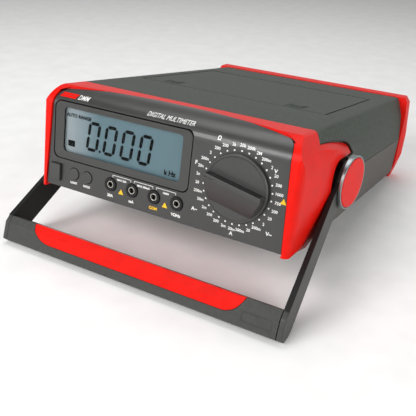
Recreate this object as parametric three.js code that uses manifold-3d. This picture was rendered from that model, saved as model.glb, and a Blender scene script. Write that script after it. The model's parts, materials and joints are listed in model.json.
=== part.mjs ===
// Bench digital multimeter, standing on its swing-down handle with the front raised.
// Millimetres. The instrument is drawn level, in its own frame: X to the right, Y to the rear,
// Z up, with the origin at the middle of the front panel's lower edge. The whole instrument is then
// tilted onto the bench, with the origin under the middle of the object.
import * as THREE from "three";
import * as BufferGeometryUtils from "three/addons/utils/BufferGeometryUtils.js";
import Module from "manifold-3d";

const wasm = await Module();
wasm.setup();

// ---------- driving dimensions ----------
const GAP = 0.35;              // clearance between touching pieces
const WALL = 2.4;              // moulded wall thickness
const CASE_TOP = 77.5;         // height of the case
const SPLIT_Z = 37;            // height of the joint between the two case shells
const CASE_FRONT = 36;         // where the bezel meets the case shells
const CASE_REAR = 288;         // where the case shells meet the rear bumper
const REAR_END = 304;          // rearmost face of the bumper
const CASE_FLOOR = -1.5;       // underside of the case
const FOOT_DEPTH = 5;          // how far the feet reach below the panel's lower edge
const HALF_TOP = 97;           // half width along the top edge
const HALF_SPLIT = 107;        // half width at the split line
const HALF_WING = 108.6;       // half width over the bezel's wings
const WING_START = 8;          // the wings grow out of the bezel's sides behind this line
const HALF_RECESS = 100;       // half width inside the handle recess
// The front panel: half widths at the bottom and the top, and the height of its round corners.
const PANEL = { thick: 3, bottom: 99.6, top: 95.2, corner: 76.2 };
const LENS = { back: 2.4, ledge: 1.35, flange: 1.6 };   // a stepped lens that fills the window
const LCD_FACE = 2.75;         // how deep the display's face lies behind the panel's face
const ROLL_START = 62;         // the panel's face rolls back above this height
const ROLL_DEPTH = 24;         // how far back the roll runs
const OUTSIDE = 130;           // shapes that cut or trim reach past the case to here

const KNOB = {
  x: 62, z: 36.6, radius: 23.2, base: 3.2, bar: 10.5, barHalf: 4.2, shaft: 2.75, socket: 3.1, angle: 10.5,
};
const DISPLAY = { x0: -93.2, x1: 25.2, z0: 23.8, z1: 66.7, groove: 0.8 };
const WINDOW = { x0: -85, x1: 18, z0: 29.5, z1: 63 };
const JACK = {
  firstX: -38.8, pitch: 19, z: 14, count: 4, radius: 5, proud: 1.1, well: 3.1, wellEnd: 18.4,
  sleeve: 2.75, sleeveEnd: 18, bore: 2.05, boreEnd: 16,
};
const POWER = { x0: -94.8, x1: -85.6, z0: 5.5, z1: 18.5, proud: 2.4, stem: 8 };
const BUTTON = { xs: [-73.2, -60.8], z: 13.6, radius: 4.6, proud: 0.9, stem: 7, switchHalf: 3.5 };
const FRONT_BOARD = { half: 93, y: 21.8, thick: 1.6, z0: 5, z1: 66 };
const PARTS_END = FRONT_BOARD.y - 0.4;      // parts mounted on the front board stop just short of it
const LID = { x0: -86.5, x1: 80.5, y0: 105, y1: 236, thick: 2.2, gap: 1.5 };
const TRAY = { depth: 29, wall: 1.6, inset: 6 };
const LATCH = { xs: [-62, 53], width: 15, length: 13, throw: 2.5, setback: 3 };
const HINGE = { y: LID.y1 - 2.4, z: CASE_TOP - 2.4, bead: 2.4, bore: 1.3, rod: 1, lug: 4 };

const HUB = {
  y: 80, z: SPLIT_Z, radius: 20.2, disc: 18.6, discThick: 1.4, cant: 7, base: 112.8, face: 117.5,
};
const POCKET = 24;             // radius of the recess around the hub
const BOSS = { drum: 14, journal: 7.9, neck: 6.6, eye: 15, eyeBore: 8.3 };   // radii at the handle's pivot
const HANDLE = { drop: 36.9, inner: 109, thick: 3.4, flare: 5.3, half: 10.3, reach: 118.7 };
const FACE_FOOT = { y: -134.9, z: -0.1 };   // lower edge of the crossbar's front face
const FACE_TOP = { y: -124.6, z: 9 };       // its upper edge, where the bevel starts
const HEEL = { y: -132.6, z: -6.5, length: 7.1 };   // the flat that the crossbar rests on
const GRIP = { left: -91, right: 89, low: 6.8, depth: 1.5 };
const FEET = { x: 80, front: 52, rear: 262, radius: 8 };
const INLET = { x0: -74, x1: -46, z0: 16, z1: 37, depth: 16, proud: 8, rim: 3.5, base: 3 };
const FUSE = { x: -28, z: 27, radius: 6, cap: 8, depth: 20, proud: 10 };
const VENTS = { x0: 8, pitch: 5, width: 2.2, count: 13, z0: 16, z1: 40 };
const MAIN_BOARD = { half: 92, y0: 78, y1: 262, z: 8, thick: 1.6 };
const TRANSFORMER = { x: -54, y: 221, half: 24, depth: 25, top: 36, windingHalf: 16, windingDepth: 33 };
const INPUT_FUSE = { x0: 2, x1: 38, y: 110, radius: 4.8 };
const CAPACITOR = { x: 20, y: 225, radius: 8, top: 34 };
const BENCH_TILT = 7.75;       // how far the front is raised, in degrees
const radians = THREE.MathUtils.degToRad;

// ---------- materials ----------
function plastic(colour, roughness = 0.55) {
  return new THREE.MeshStandardMaterial({ color: colour, roughness, metalness: 0 });
}
function metal(colour, roughness = 0.35) {
  return new THREE.MeshStandardMaterial({ color: colour, roughness, metalness: 1 });
}
const RED = plastic(0xe2231a, 0.4);
const CHARCOAL = plastic(0x4b4c4a);
const DARK_GREY = plastic(0x4c5452);
const MID_GREY = plastic(0x5c605a);
const LOWER_GREY = plastic(0x6f6a66);
const BLACK = plastic(0x141414, 0.5);
const RUBBER = plastic(0x202020, 0.9);
const GLASS = plastic(0xbfd0d6, 0.1);
const LCD = plastic(0x88a3ad, 0.3);
const BOARD = plastic(0x1f5a36, 0.6);
const STEEL = metal(0xc8c8c8);
const BRASS = metal(0xc9a65a);

// ---------- solids ----------
function toSolid(geometry) {
  const bare = geometry.clone();
  bare.deleteAttribute("normal");
  bare.deleteAttribute("uv");
  const merged = BufferGeometryUtils.mergeVertices(bare, 1e-4);
  return new wasm.Manifold(new wasm.Mesh({
    numProp: 3,
    vertProperties: merged.attributes.position.array,
    triVerts: Uint32Array.from(merged.index.array),
  }));
}

function toGeometry(solid) {
  const mesh = solid.getMesh();
  const geometry = new THREE.BufferGeometry();
  geometry.setAttribute("position", new THREE.BufferAttribute(mesh.vertProperties, 3));
  geometry.setIndex(new THREE.BufferAttribute(mesh.triVerts, 1));
  geometry.computeVertexNormals();
  return geometry;
}

function join(first, ...rest) {
  return toGeometry(rest.reduce((sum, other) => sum.add(toSolid(other)), toSolid(first)));
}
function cut(first, ...rest) {
  return toGeometry(rest.reduce((sum, other) => sum.subtract(toSolid(other)), toSolid(first)));
}
function common(first, ...rest) {
  return toGeometry(rest.reduce((sum, other) => sum.intersect(toSolid(other)), toSolid(first)));
}

function box(x0, x1, y0, y1, z0, z1) {
  const geometry = new THREE.BoxGeometry(x1 - x0, y1 - y0, z1 - z0);
  return geometry.translate((x0 + x1) / 2, (y0 + y1) / 2, (z0 + z1) / 2);
}

function outline(points) {
  return new THREE.Shape(points.map(([u, v]) => new THREE.Vector2(u, v)));
}

function roundedRect(u0, u1, v0, v1, radius) {
  const shape = new THREE.Shape();
  shape.moveTo(u0 + radius, v0);
  shape.lineTo(u1 - radius, v0);
  shape.absarc(u1 - radius, v0 + radius, radius, -Math.PI / 2, 0);
  shape.lineTo(u1, v1 - radius);
  shape.absarc(u1 - radius, v1 - radius, radius, 0, Math.PI / 2);
  shape.lineTo(u0 + radius, v1);
  shape.absarc(u0 + radius, v1 - radius, radius, Math.PI / 2, Math.PI);
  shape.lineTo(u0, v0 + radius);
  shape.absarc(u0 + radius, v0 + radius, radius, Math.PI, 1.5 * Math.PI);
  return shape;
}

function extrude(shape, depth, curveSegments = 5) {
  return new THREE.ExtrudeGeometry(shape, { depth, bevelEnabled: false, curveSegments });
}
// An outline in X and Z, pushed along Y from y0 to y1.
function alongY(shape, y0, y1, curveSegments) {
  return extrude(shape, y1 - y0, curveSegments).rotateX(Math.PI / 2).translate(0, y1, 0);
}
// An outline in X and Y, pushed along Z from z0 to z1.
function alongZ(shape, z0, z1, curveSegments) {
  return extrude(shape, z1 - z0, curveSegments).translate(0, 0, z0);
}
// An outline in Y and Z, pushed along X from x0 to x1.
function alongX(shape, x0, x1, curveSegments) {
  const turned = extrude(shape, x1 - x0, curveSegments).rotateY(Math.PI / 2).rotateX(Math.PI / 2);
  return turned.translate(x0, 0, 0);
}

function rodY(x, z, radius, y0, y1, sides = 24) {
  const rod = new THREE.CylinderGeometry(radius, radius, y1 - y0, sides);
  return rod.translate(x, (y0 + y1) / 2, z);
}
function rodZ(x, y, radius, z0, z1, sides = 20) {
  const rod = new THREE.CylinderGeometry(radius, radius, z1 - z0, sides).rotateX(Math.PI / 2);
  return rod.translate(x, y, (z0 + z1) / 2);
}
function rodX(y, z, radius, x0, x1, sides = 28) {
  const rod = new THREE.CylinderGeometry(radius, radius, x1 - x0, sides).rotateZ(Math.PI / 2);
  return rod.translate((x0 + x1) / 2, y, z);
}

// The same piece on the instrument's other side.
function mirrored(geometry) {
  return toGeometry(toSolid(geometry).mirror([1, 0, 0]));
}

function mesh(name, geometry, material) {
  const piece = new THREE.Mesh(geometry, material);
  piece.name = name;
  return piece;
}

// ---------- the bench, seen from the instrument ----------
// Height of the bench under the instrument at a given Y, in the instrument's own frame.
function benchHeight(y) {
  const drop = radians(HANDLE.drop);
  const heelY = HUB.y + HEEL.y * Math.cos(drop) - HEEL.z * Math.sin(drop);
  const heelZ = HUB.z + HEEL.y * Math.sin(drop) + HEEL.z * Math.cos(drop);
  return heelZ + (y - heelY) * Math.tan(radians(BENCH_TILT));
}
// Rear end of the flat under the crossbar, in the handle's frame: it lies along the bench.
function heelEnd() {
  const slope = radians(BENCH_TILT - HANDLE.drop);
  return [HEEL.y + HEEL.length * Math.cos(slope), HEEL.z + HEEL.length * Math.sin(slope)];
}

// ---------- outlines shared by several pieces ----------
// The right half of the case's cross-section, from the floor up to the top edge.
function sideProfile(inset, halfSplit = HALF_SPLIT) {
  return [
    [halfSplit - 3 - inset, CASE_FLOOR + inset],
    [halfSplit - 0.8 - inset, 3 + inset / 2],
    [halfSplit - inset, SPLIT_Z],
    [halfSplit - 2.8 - inset, 60],
    [HALF_TOP + 2.6 - inset, 73],
    [HALF_TOP + 1 - inset, CASE_TOP - 1 - inset],
    [HALF_TOP - 1 - inset, CASE_TOP - inset],
  ];
}
function crossSection(inset, halfSplit) {
  const right = sideProfile(inset, halfSplit);
  const left = right.map(([x, z]) => [-x, z]).reverse();
  return outline([...right, ...left]);
}

// The front panel's outline: sides that lean in, and round upper corners.
function panelOutline(grow = 0) {
  const bottom = PANEL.bottom + grow;
  const top = PANEL.top + grow;
  const corner = PANEL.corner + grow;
  const shape = new THREE.Shape();
  shape.moveTo(-bottom, -grow);
  shape.lineTo(bottom, -grow);
  shape.lineTo(top + 0.5, corner - 9);
  shape.quadraticCurveTo(top, corner - 0.8, top - 9, corner);
  shape.lineTo(top - 30, CASE_TOP + 3);
  shape.lineTo(-top + 30, CASE_TOP + 3);
  shape.lineTo(-top + 9, corner);
  shape.quadraticCurveTo(-top, corner - 0.8, -top - 0.5, corner - 9);
  return shape;
}

// The face and its roll, seen from the side: offset moves the skin outwards.
function rollOutline(offset, inner) {
  const shape = new THREE.Shape();
  const top = CASE_TOP + 0.4;
  const below = -20;
  const behind = 60;
  const arc = (shrink, from, to, clockwise) => shape.absellipse(
    ROLL_DEPTH, ROLL_START, ROLL_DEPTH - shrink, top - ROLL_START - shrink, from, to, clockwise,
  );
  shape.moveTo(-offset, below);
  shape.lineTo(-offset, ROLL_START);
  arc(-offset, Math.PI, Math.PI / 2, true);
  shape.lineTo(behind, top + offset);
  if (inner === undefined) {
    shape.lineTo(behind, below);
    return shape;
  }
  shape.lineTo(behind, top - inner);
  shape.lineTo(ROLL_DEPTH, top - inner);
  arc(inner, Math.PI / 2, Math.PI, false);
  shape.lineTo(inner, below);
  return shape;
}

// Where the dark panel ends and the bezel's top strip begins: an arch, seen from above.
function archOutline(shift) {
  const shape = new THREE.Shape();
  const end = { x: 94, y: 9 + shift };
  shape.moveTo(-OUTSIDE, -30);
  shape.lineTo(OUTSIDE, -30);
  shape.lineTo(OUTSIDE, end.y);
  shape.lineTo(end.x, end.y);
  shape.quadraticCurveTo(0, end.y + 30, -end.x, end.y);
  shape.lineTo(-OUTSIDE, end.y);
  return shape;
}

// The wing's side view: a shelf that runs back over the hub, a round bite that lets the hub in,
// and a lower edge that follows the handle's arm down to the bench.
function wingOutline() {
  const shape = new THREE.Shape();
  shape.moveTo(WING_START, CASE_FLOOR);
  shape.lineTo(36, CASE_FLOOR - 3);
  shape.lineTo(58, 33);
  shape.quadraticCurveTo(55, 42, 58, 49);
  shape.quadraticCurveTo(60.5, 54.5, 68, 55);
  shape.quadraticCurveTo(90, 55, 111.5, 51.2);
  shape.quadraticCurveTo(109.5, 54.5, 101.5, 58.8);
  shape.quadraticCurveTo(94, 62.4, 84, 63.6);
  shape.quadraticCurveTo(60, 67.2, CASE_FRONT - 8, 69);
  shape.lineTo(WING_START, 69);
  return shape;
}
// The recess in the case's side that takes the wing and lets the handle's arm hug it.
function recessOutline() {
  return outline([
    [CASE_FRONT - 8, -4], [40, -4], [64, 28], [66, 37], [90, 50], [112.6, 50.4],
    [113.4, 52], [102.2, 59.5], [94, 62.8], [85, 64.6], [60, 68.4], [CASE_FRONT - 8, 69.8],
  ]);
}

// ---------- front ----------
function frontBezel() {
  const plan = new THREE.Shape();
  const rear = HALF_SPLIT + 0.5;
  const shoulder = rear - 1.9;
  const nose = rear - 6;
  plan.moveTo(-nose, -1.2);
  plan.lineTo(nose, -1.2);
  plan.quadraticCurveTo(shoulder - 1, 0, shoulder, 6);
  plan.lineTo(rear, CASE_FRONT);
  plan.lineTo(-rear, CASE_FRONT);
  plan.lineTo(-shoulder, 6);
  plan.quadraticCurveTo(1 - shoulder, 0, -nose, -1.2);
  const outer = common(
    alongY(crossSection(0, rear), -2, CASE_FRONT),
    alongZ(plan, -5, CASE_TOP + 3),
    alongX(rollOutline(1.2), -OUTSIDE, OUTSIDE),
  );
  const hollow = alongY(crossSection(WALL + 0.6), PANEL.thick + 2.2, CASE_FRONT + 5);
  const beforeArch = alongZ(archOutline(GAP), -10, CASE_TOP + 8);
  const panelSeat = common(
    alongY(panelOutline(GAP), -6, CASE_FRONT),
    alongX(rollOutline(4, PANEL.thick + GAP), -OUTSIDE, OUTSIDE),
    beforeArch,
  );
  const opening = common(alongY(panelOutline(-3.5), -6, CASE_FRONT), beforeArch);
  const floorCut = box(-PANEL.bottom, PANEL.bottom, -6, PANEL.thick + 6, -5, WALL + 1);
  const rim = cut(outer, hollow, panelSeat, opening, floorCut);
  return join(rim, wing(), mirrored(wing()));
}

// The wing's cross-sections, front to rear: the half width, the height where the side turns inwards,
// the shelf's outer edge, and the shelf's height against the case.
const WING_SECTIONS = [
  { y: WING_START, half: 105.6, turn: 52, edge: 102.6, shelf: 65, top: 69.5 },
  { y: CASE_FRONT, half: 107.7, turn: 57, edge: 104, shelf: 66, top: 68.8 },
  { y: 56, half: HALF_WING, turn: 61.5, edge: 108, shelf: 63.6, top: 67.2 },
  { y: HUB.y, half: HALF_WING, turn: 55.5, edge: 108.2, shelf: 57.2, top: 63.8 },
  { y: 112, half: HALF_WING - 3.2, turn: 47.5, edge: 105, shelf: 49, top: 58 },
];
function wingPoints({ y, half, turn, edge, shelf, top }) {
  const inner = HALF_RECESS + GAP + 0.3;
  const low = CASE_FLOOR - 3;
  return [
    [inner, y, low], [half - 3.6, y, low], [half - 0.4, y, 4], [half, y, SPLIT_Z], [half, y, turn],
    [edge, y, shelf], [inner, y, top],
  ];
}
// Each pair of neighbouring sections is filled by the solid stretched between them.
function wing() {
  const spans = WING_SECTIONS.slice(1).map((section, i) => (
    wasm.Manifold.hull([...wingPoints(WING_SECTIONS[i]), ...wingPoints(section)])
  ));
  const body = spans.reduce((sum, span) => sum.add(span));
  return common(toGeometry(body), alongX(wingOutline(), 90, 112, 7));
}

function frontPanel() {
  const skin = common(
    alongX(rollOutline(0, PANEL.thick), -OUTSIDE, OUTSIDE),
    alongY(panelOutline(-GAP), -1, CASE_FRONT),
    alongZ(archOutline(-GAP), -2, CASE_TOP + 3),
    box(-OUTSIDE, OUTSIDE, -1, CASE_FRONT, 0.6, CASE_TOP + 3),
  );
  const holes = [alongY(displayOutline(DISPLAY.groove), -3, 6), rodY(KNOB.x, KNOB.z, 4.4, -3, 6)];
  for (const x of jackPlaces()) holes.push(rodY(x, JACK.z, JACK.radius + GAP, -3, 6));
  for (const x of BUTTON.xs) holes.push(rodY(x, BUTTON.z, BUTTON.radius + GAP, -3, 6));
  holes.push(box(POWER.x0 - GAP, POWER.x1 + GAP, -3, 6, POWER.z0 - GAP, POWER.z1 + GAP));
  return cut(skin, ...holes);
}

function displayOutline(grow) {
  return roundedRect(DISPLAY.x0 - grow, DISPLAY.x1 + grow, DISPLAY.z0 - grow, DISPLAY.z1 + grow, 5);
}
function windowOutline(grow) {
  return roundedRect(WINDOW.x0 - grow, WINDOW.x1 + grow, WINDOW.z0 - grow, WINDOW.z1 + grow, 3);
}

function displaySurround() {
  const plate = alongY(displayOutline(0), 0.2, PANEL.thick);
  const lensSeat = alongY(windowOutline(LENS.flange), LENS.ledge - GAP, PANEL.thick + 5);
  return cut(plate, alongY(windowOutline(0), -3, 8), lensSeat);
}
function displayLens() {
  const flange = alongY(windowOutline(LENS.flange - GAP), LENS.ledge, LENS.back);
  return join(flange, alongY(windowOutline(-GAP), 0.5, LENS.back));
}
function lcdModule() {
  return alongY(windowOutline(1), LCD_FACE, LCD_FACE + 3.6);
}
function displayCarrier() {
  const block = alongY(windowOutline(3), PANEL.thick + GAP, 20);
  const seat = alongY(windowOutline(1 + GAP), 0, LCD_FACE + 3.6 + GAP);
  return cut(block, seat, alongY(windowOutline(-4), 0, 30));
}

function jackPlaces() {
  return Array.from({ length: JACK.count }, (unused, i) => JACK.firstX + i * JACK.pitch);
}
function jackHousing() {
  const body = rodY(0, 0, JACK.radius, -JACK.proud, PARTS_END);
  return cut(body, rodY(0, 0, JACK.well, -4, JACK.wellEnd));
}
function jackSleeve() {
  const tube = rodY(0, 0, JACK.sleeve, GAP - JACK.proud, JACK.sleeveEnd);
  return cut(tube, rodY(0, 0, JACK.bore, -4, JACK.boreEnd, 16));
}

function rangeKnob() {
  const disc = rodY(0, 0, KNOB.radius, -KNOB.base, -0.5, 48);
  const bar = new THREE.Shape();
  const reach = KNOB.radius - 1;
  const half = KNOB.barHalf;
  bar.moveTo(-reach, -half);
  bar.lineTo(reach - 1, -half);
  bar.quadraticCurveTo(reach + 0.5, 0, reach - 1, half);
  bar.lineTo(-reach, half);
  bar.quadraticCurveTo(-reach - 1.5, 0, -reach, -half);
  const ridge = alongY(bar, -KNOB.bar, -KNOB.base + 1);
  return cut(join(disc, ridge), rodY(0, 0, KNOB.socket, -6, 2, 20));
}
function knobShaft() {
  return rodY(0, 0, KNOB.shaft, -5.6, 24, 20);
}
function rotarySwitch() {
  const body = rodY(KNOB.x, KNOB.z, 19, 14, PARTS_END, 32);
  return cut(body, rodY(KNOB.x, KNOB.z, KNOB.socket, 0, 30, 20));
}

function powerButton() {
  const cap = roundedRect(POWER.x0, POWER.x1, POWER.z0, POWER.z1, 1);
  return alongY(cap, -POWER.proud, POWER.stem);
}
function powerSwitch() {
  return box(POWER.x0 + 2, POWER.x1 - 2, POWER.stem + 4.5, PARTS_END, POWER.z0 + 2, POWER.z1 - 2);
}
function functionButton() {
  return rodY(0, 0, BUTTON.radius, -BUTTON.proud, BUTTON.stem);
}
function buttonSwitch() {
  const half = BUTTON.switchHalf;
  return box(-half, half, BUTTON.stem + 2.5, PARTS_END, -half, half);
}
function frontBoard() {
  const { half, y, thick, z0, z1 } = FRONT_BOARD;
  return cut(box(-half, half, y, y + thick, z0, z1), rodY(KNOB.x, KNOB.z, KNOB.socket + 0.1, 15, 30, 20));
}

// ---------- case ----------
// The space beside the case that the wing and the hub take up, from the wing's top to the floor.
function sideRecess() {
  const channel = alongX(recessOutline(), HALF_RECESS, OUTSIDE);
  return join(channel, rodX(HUB.y, HUB.z, POCKET, HALF_RECESS, OUTSIDE, 40));
}

function caseShell(z0, z1) {
  const outer = alongY(crossSection(0), CASE_FRONT + GAP, CASE_REAR);
  const inner = alongY(crossSection(WALL), 0, CASE_REAR + 40);
  const thickSide = box(HALF_RECESS - WALL, OUTSIDE, CASE_FRONT, HUB.y + POCKET + WALL, 0, 71);
  const hollow = cut(inner, thickSide, mirrored(thickSide));
  const recess = sideRecess();
  const shell = cut(outer, hollow, recess, mirrored(recess));
  return common(shell, box(-OUTSIDE, OUTSIDE, 0, REAR_END, z0, z1));
}

function upperCase() {
  const shell = caseShell(SPLIT_Z + GAP / 2, CASE_TOP + 5);
  const lidHole = box(
    LID.x0 - LID.gap, LID.x1 + LID.gap, LID.y0 - LID.gap, LID.y1 + LID.gap, CASE_TOP - 6, CASE_TOP + 5,
  );
  const bossHole = rodX(HUB.y, HUB.z, BOSS.neck + 0.4, -OUTSIDE, OUTSIDE);
  const lugs = [LID.x0 - LID.gap - HINGE.lug, LID.x1 + LID.gap].map(
    (x) => box(x, x + HINGE.lug, HINGE.y - 3, HINGE.y + 3, HINGE.z - 3, CASE_TOP - 1),
  );
  const rodHole = rodX(HINGE.y, HINGE.z, HINGE.bore, LID.x0 - 3, LID.x1 + 3, 16);
  return cut(join(cut(shell, lidHole, bossHole), ...lugs), rodHole);
}
function lowerCase() {
  const shell = caseShell(-5, SPLIT_Z - GAP / 2);
  const bossHole = rodX(HUB.y, HUB.z, BOSS.neck + 0.4, -OUTSIDE, OUTSIDE);
  const ribs = [70, 270].map((y) => box(-98, 98, y - 1, y + 1, 0, 7));
  return join(cut(shell, bossHole), ...ribs);
}

// The lid turns on a rod inside the bead along its rear edge.
function compartmentLid() {
  const plate = box(LID.x0, LID.x1, LID.y0, HINGE.y, CASE_TOP - LID.thick, CASE_TOP);
  const notches = LATCH.xs.map((x) => box(
    x - LATCH.width / 2 - GAP, x + LATCH.width / 2 + GAP,
    LID.y0 + LATCH.setback, LID.y0 + LATCH.setback + LATCH.length + LATCH.throw + 2 * GAP,
    CASE_TOP - 10, CASE_TOP + 2,
  ));
  const bead = rodX(HINGE.y, HINGE.z, HINGE.bead, LID.x0, LID.x1, 20);
  const bore = rodX(HINGE.y, HINGE.z, HINGE.bore, LID.x0 - 5, LID.x1 + 5, 16);
  return cut(join(cut(plate, ...notches), bead), bore);
}
function lidHingeRod() {
  return rodX(HINGE.y, HINGE.z, HINGE.rod, LID.x0 - 2.6, LID.x1 + 2.6, 12);
}
function lidLatch() {
  const tab = box(-LATCH.width / 2, LATCH.width / 2, 0, LATCH.length, -1.8, 0);
  const gripHalf = LATCH.width / 2 - 2;
  const grip = box(-gripHalf, gripHalf, LATCH.length - 4, LATCH.length - 1, -2, 0.8);
  return join(tab, grip);
}

function accessoryTray() {
  const x0 = LID.x0 + TRAY.inset;
  const x1 = LID.x1 - TRAY.inset;
  const y0 = LID.y0 + TRAY.inset;
  const y1 = LID.y1 - TRAY.inset - 3;
  const top = CASE_TOP - LID.thick - 2.6;
  const floor = top - TRAY.depth;
  const shell = box(x0, x1, y0, y1, floor, top);
  const wall = TRAY.wall;
  return cut(shell, box(x0 + wall, x1 - wall, y0 + wall, y1 - wall, floor + wall, top + 5));
}

function rearPanel() {
  const plate = alongY(crossSection(WALL + 1), CASE_REAR + 3, CASE_REAR + 6);
  const inletHole = box(
    INLET.x0 - GAP, INLET.x1 + GAP, CASE_REAR, REAR_END, INLET.z0 - GAP, INLET.z1 + GAP,
  );
  const fuseHole = rodY(FUSE.x, FUSE.z, FUSE.radius + GAP, CASE_REAR, REAR_END, 20);
  const slots = Array.from({ length: VENTS.count }, (unused, i) => {
    const x = VENTS.x0 + i * VENTS.pitch;
    return box(x, x + VENTS.width, CASE_REAR, REAR_END, VENTS.z0, VENTS.z1);
  });
  return cut(plate, inletHole, fuseHole, ...slots);
}

function rearBumper() {
  const top = CASE_TOP + 2.2;
  const outer = outline([
    [-103, -9], [103, -9], [110.5, 20], [110.5, 42], [107, 74], [103.5, top],
    [-103.5, top], [-107, 74], [-110.5, 42], [-110.5, 20],
  ]);
  const side = outline([
    [CASE_REAR + GAP, CASE_FLOOR - 1.5], [CASE_REAR + 4, benchHeight(CASE_REAR + 4)],
    [REAR_END - 4, benchHeight(REAR_END - 4)], [REAR_END, 4], [REAR_END, CASE_TOP - 5],
    [REAR_END - 5, top], [CASE_REAR + GAP, CASE_TOP + 0.8],
  ]);
  const plan = outline([
    [-108, CASE_REAR + GAP], [108, CASE_REAR + GAP], [111, CASE_REAR + 8], [111, REAR_END - 4],
    [106, REAR_END], [-106, REAR_END], [-111, REAR_END - 4], [-111, CASE_REAR + 8],
  ]);
  const body = common(
    alongY(outer, CASE_REAR, REAR_END), alongX(side, -OUTSIDE, OUTSIDE), alongZ(plan, -15, CASE_TOP + 10),
  );
  const seat = alongY(crossSection(WALL + 1 - GAP), CASE_REAR - 1, CASE_REAR + 6 + GAP);
  const mouth = alongY(crossSection(9), CASE_REAR - 1, REAR_END + 5);
  return cut(body, seat, mouth);
}

function powerInlet() {
  const body = box(
    INLET.x0, INLET.x1, CASE_REAR - INLET.depth, CASE_REAR + INLET.proud, INLET.z0, INLET.z1,
  );
  const socket = box(
    INLET.x0 + INLET.rim, INLET.x1 - INLET.rim, CASE_REAR - INLET.proud, CASE_REAR + INLET.proud + 2,
    INLET.z0 + INLET.base, INLET.z1 - INLET.base,
  );
  return cut(body, socket);
}
function fuseHolder() {
  const body = rodY(FUSE.x, FUSE.z, FUSE.radius, CASE_REAR - FUSE.depth, CASE_REAR + 6.5, 20);
  const cap = rodY(FUSE.x, FUSE.z, FUSE.cap, CASE_REAR + 6.4, CASE_REAR + FUSE.proud, 20);
  return join(body, cap);
}
function mainBoard() {
  return box(
    -MAIN_BOARD.half, MAIN_BOARD.half, MAIN_BOARD.y0, MAIN_BOARD.y1,
    MAIN_BOARD.z, MAIN_BOARD.z + MAIN_BOARD.thick,
  );
}
// The parts on the main board stand a little above it.
const ON_BOARD = MAIN_BOARD.z + MAIN_BOARD.thick + GAP;
function transformer() {
  const { x, y, half, depth, top, windingHalf, windingDepth } = TRANSFORMER;
  const core = box(x - half, x + half, y - depth, y + depth, ON_BOARD, top);
  const winding = box(
    x - windingHalf, x + windingHalf, y - windingDepth, y + windingDepth, ON_BOARD + 3, top - 3,
  );
  return join(core, winding);
}
function inputFuse() {
  const { x0, x1, y, radius } = INPUT_FUSE;
  return rodX(y, ON_BOARD + radius, radius, x0, x1, 16);
}
function smoothingCapacitor() {
  return rodZ(CAPACITOR.x, CAPACITOR.y, CAPACITOR.radius, ON_BOARD, CAPACITOR.top, 20);
}
function foot() {
  return rodZ(0, 0, FEET.radius, -FOOT_DEPTH, CASE_FLOOR - GAP, 20);
}

// ---------- handle ----------
// Drawn pointing straight forward from the hub, with the hub's axis along X through the origin.
function handleSection(shrink = 0) {
  return outline([
    [-HANDLE.reach + shrink / 2, HANDLE.half - shrink], [FACE_TOP.y + shrink / 2, FACE_TOP.z - shrink],
    [FACE_FOOT.y + 1.2 * shrink, FACE_FOOT.z], [HEEL.y, HEEL.z], heelEnd(), [-HANDLE.reach + 3.6, 4.5],
  ]);
}

function handleArm() {
  const meet = Math.asin(HANDLE.half / BOSS.eye);
  const side = new THREE.Shape();
  side.moveTo(-HANDLE.reach, HANDLE.half);
  side.lineTo(FACE_TOP.y, FACE_TOP.z);
  side.lineTo(FACE_FOOT.y, FACE_FOOT.z);
  side.lineTo(HEEL.y, HEEL.z);
  side.lineTo(...heelEnd());
  side.lineTo(heelEnd()[0] + 3, -HANDLE.half);
  side.lineTo(-BOSS.eye * Math.cos(meet), -HANDLE.half);
  side.absarc(0, 0, BOSS.eye, Math.PI + meet, Math.PI - meet, false);
  const outer = HANDLE.inner + HANDLE.thick;
  const flared = HANDLE.inner + HANDLE.flare;
  const beyond = FACE_FOOT.y - 10;
  const edgeOn = outline([
    [HANDLE.inner, 20], [outer, 20], [outer, -POCKET], [flared + 4, -HANDLE.reach],
    [flared + 4, beyond], [flared, beyond], [flared, -HANDLE.reach], [HANDLE.inner, -POCKET],
  ]);
  const strap = common(alongX(side, HALF_RECESS, OUTSIDE, 8), alongZ(edgeOn, -20, 20));
  return cut(strap, rodX(0, 0, BOSS.eyeBore, HALF_RECESS, OUTSIDE));
}

function gripOutline(grow) {
  const left = GRIP.left - grow;
  const right = GRIP.right + grow;
  const low = GRIP.low - grow;
  const shape = new THREE.Shape();
  shape.moveTo(left, 40);
  shape.lineTo(left, 21);
  shape.quadraticCurveTo(left + 4, low + 0.5, left + 18, low);
  shape.lineTo(right - 14, low);
  shape.quadraticCurveTo(right - 3, low + 2, right, 21);
  shape.lineTo(right, 40);
  return shape;
}
// A prism square to the crossbar's front face: outline u is X, outline v is the height up the face.
function throughFace(shape) {
  const lean = Math.atan2(FACE_TOP.z - FACE_FOOT.z, FACE_TOP.y - FACE_FOOT.y);
  const prism = extrude(shape, 24, 8).translate(0, 0, -8).rotateX(lean);
  return prism.translate(0, FACE_FOOT.y, FACE_FOOT.z);
}
function gripSkin(depth) {
  return cut(alongX(handleSection(-1), -120, 120), alongX(handleSection(depth), -OUTSIDE, OUTSIDE));
}
function handleGrip() {
  const body = alongX(handleSection(0), -120, 120);
  return common(body, throughFace(gripOutline(0)), gripSkin(GRIP.depth));
}
function handleCrossbar() {
  const half = HANDLE.inner + HANDLE.flare - GAP;
  const bar = alongX(handleSection(0), -half, half);
  return cut(bar, common(throughFace(gripOutline(GAP)), gripSkin(GRIP.depth + GAP)));
}

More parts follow.
